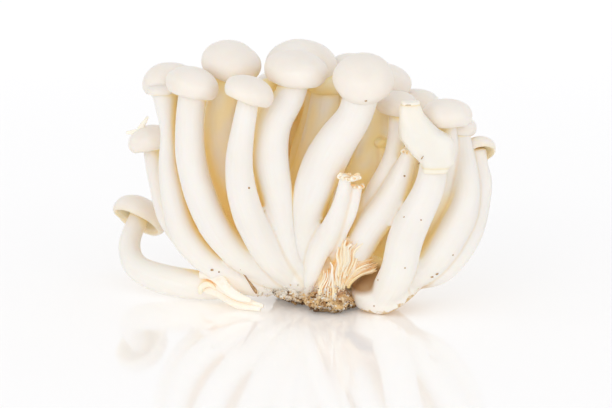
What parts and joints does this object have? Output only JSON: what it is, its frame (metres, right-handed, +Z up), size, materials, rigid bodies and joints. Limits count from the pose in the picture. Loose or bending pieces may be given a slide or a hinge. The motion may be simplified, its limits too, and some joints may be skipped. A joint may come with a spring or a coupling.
{
  "type": "white shimeji mushroom clump",
  "caption": "Clump of white beech mushrooms with small domed caps on curved stems, grown together at the foot, with a crust of growing medium underneath.",
  "frame": {"origin": "on the crust's cut underside, below the shared foot", "axes": "+Z up along the standing clump, +X to the right and +Y to the back as seen from the side with the torn patch"},
  "size_m": [0.1192, 0.0707, 0.0814],
  "materials": {
    "flesh": "smooth moist off-white mushroom flesh, satin, slightly translucent",
    "growing_medium": "rough crumbly sawdust and bran bound by white threads, matte"
  },
  "bodies": {
    "root": {"mushroom_clump": "flesh", "substrate_crust": "growing_medium"}
  },
  "joints": []
}
